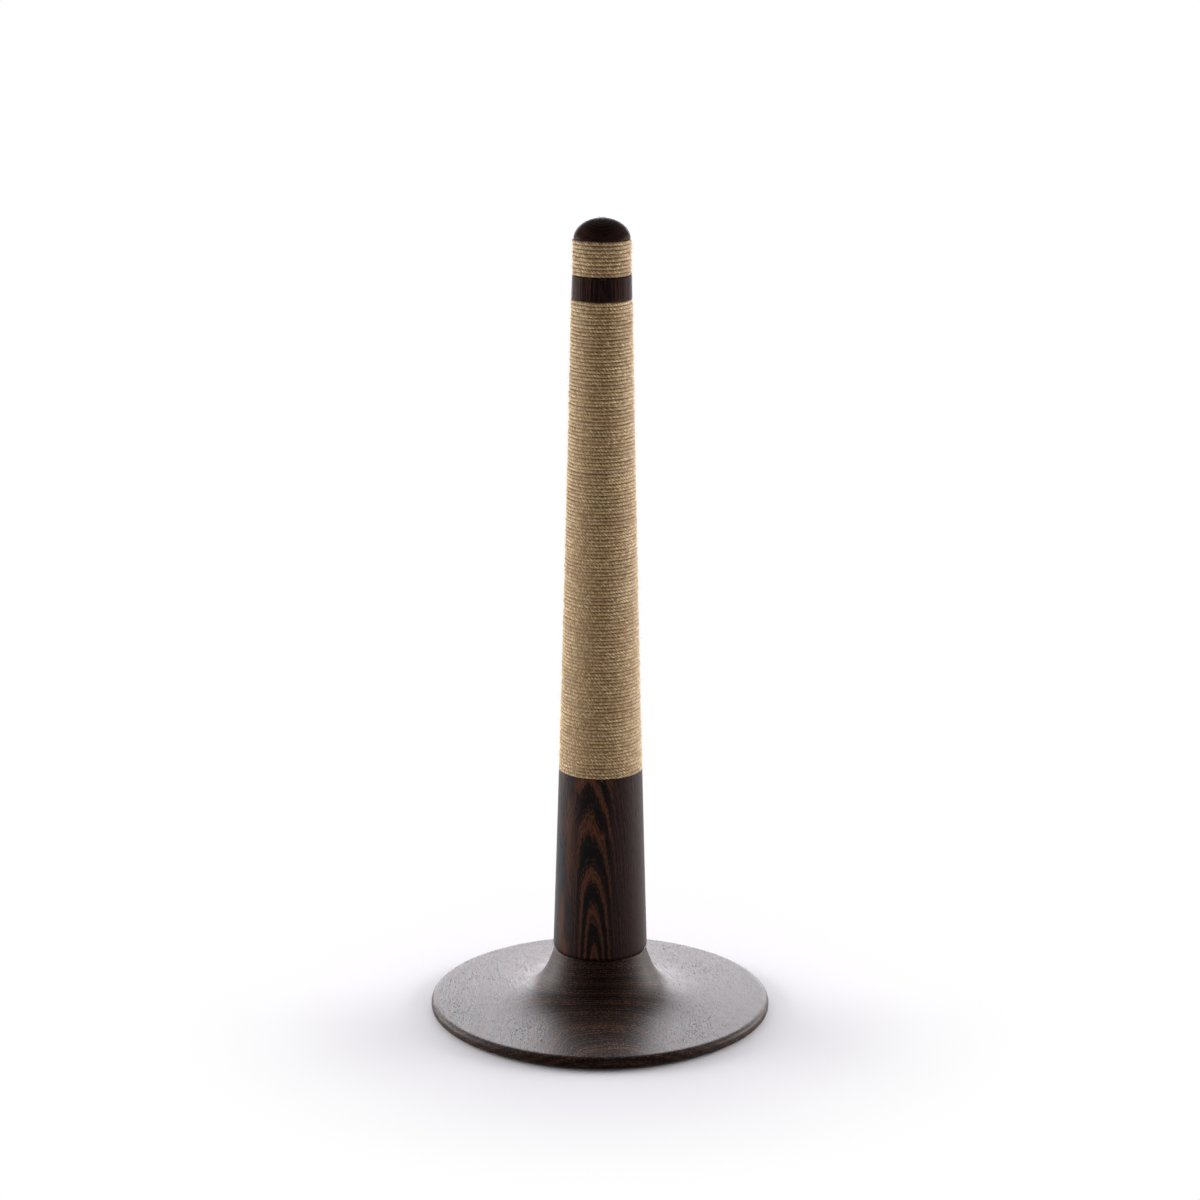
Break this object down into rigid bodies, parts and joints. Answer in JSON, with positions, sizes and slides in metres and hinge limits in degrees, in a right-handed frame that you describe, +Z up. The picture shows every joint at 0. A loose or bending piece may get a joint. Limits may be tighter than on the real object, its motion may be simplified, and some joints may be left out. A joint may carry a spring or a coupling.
{
  "type": "cat scratching post",
  "caption": "Free-standing cat scratching post: a tapered turned wood column wound with sisal rope, with a ring and a domed cap, on a round trumpet-shaped base.",
  "frame": {"origin": "on the floor under the middle of the round base, at the level of the undersides of the felt pads", "axes": "+Z up along the post, -Y towards the viewer of the picture, +X to the viewer's right"},
  "size_m": [0.38, 0.38, 0.8919],
  "materials": {
    "wenge": "dark striped hardwood, satin lacquer",
    "dark_wenge": "near-black hardwood, satin lacquer",
    "core_wood": "plain turned softwood, unfinished",
    "beech": "plain beech, unfinished",
    "sisal": "twisted natural fibre rope",
    "felt": "pressed felt",
    "steel": "zinc plated"
  },
  "bodies": {
    "root": {"foot_pad_1": "felt", "foot_pad_2": "felt", "foot_pad_3": "felt", "foot_pad_4": "felt", "foot_pad_5": "felt", "foot_pad_6": "felt", "trumpet_base": "wenge", "bolt_washer": "steel", "spring_washer": "steel", "base_bolt": "steel", "post_insert": "steel", "locating_dowel_1": "beech", "locating_dowel_2": "beech", "lower_post": "wenge", "winding_core": "core_wood", "core_cross_pin": "beech", "main_winding": "sisal", "ring_collar": "dark_wenge", "upper_winding": "sisal", "dome_cap": "dark_wenge", "cap_screw": "steel", "cap_plug": "dark_wenge"}
  },
  "joints": []
}
